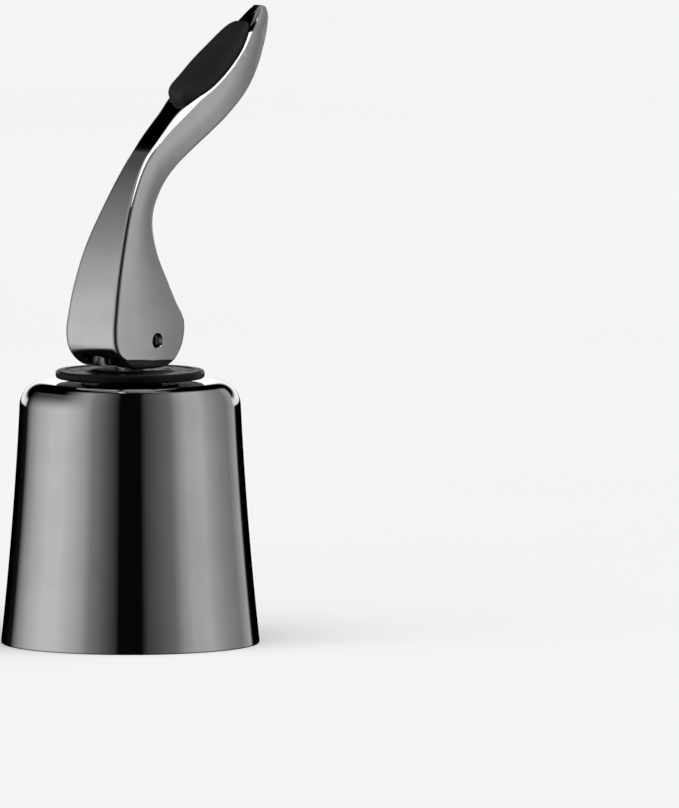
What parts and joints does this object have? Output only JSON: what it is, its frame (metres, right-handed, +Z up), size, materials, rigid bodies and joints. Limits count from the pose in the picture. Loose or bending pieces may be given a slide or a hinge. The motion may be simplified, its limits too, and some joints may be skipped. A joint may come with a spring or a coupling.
{
  "type": "bottle stopper",
  "caption": "Lever-action bottle stopper: a bell cap over an expanding rubber plug, with a folding cam lever and a soft thumb pad.",
  "frame": {"origin": "centre of the end nut's flat face at the foot of the plug, level with the bell's rim", "axes": "+Z up the stem towards the lever, +X the way the lever folds, +Y along the pivot pin"},
  "size_m": [0.0501, 0.04, 0.0973],
  "materials": {
    "gunmetal_chrome": "dark mirror chrome",
    "bright_steel": "turned, bright",
    "black_nylon": "satin moulded",
    "soft_rubber": "matte soft touch",
    "black_silicone": "matte moulded"
  },
  "bodies": {
    "cap": {"bell_cap": "gunmetal_chrome", "cam_plate": "black_nylon", "top_hub": "black_nylon", "stem_o_ring": "black_silicone", "lip_gasket": "black_silicone", "upper_seal": "black_silicone"},
    "spacer": {"seal_spacer": "black_nylon"},
    "stem": {"eye_bolt": "bright_steel", "compression_cup": "bright_steel", "flat_washer": "bright_steel", "spring_washer": "bright_steel", "end_nut": "bright_steel", "lower_seal": "black_silicone"},
    "lever": {"lever": "gunmetal_chrome", "thumb_pad": "soft_rubber", "pivot_pin": "bright_steel"}
  },
  "joints": [
    {"name": "stem_lift", "type": "slide", "parent": "cap", "child": "stem", "axis": [0, 0, 1], "range_m": [0, 0.0031], "deforming": ["lower_seal"]},
    {"name": "spacer_lift", "type": "slide", "parent": "cap", "child": "spacer", "axis": [0, 0, 1], "range_m": [0, 0.00155], "deforming": ["upper_seal"]},
    {"name": "lever_fold", "type": "hinge", "parent": "stem", "child": "lever", "pos_m": [0, 0, 0.04705], "axis": [0, 1, 0], "range_deg": [0, 100]}
  ],
  "couplings": [
    {"joint": "stem_lift", "follows": "lever_fold", "m_per_rad": 0.00175},
    {"joint": "spacer_lift", "follows": "lever_fold", "m_per_rad": 0.000875}
  ]
}
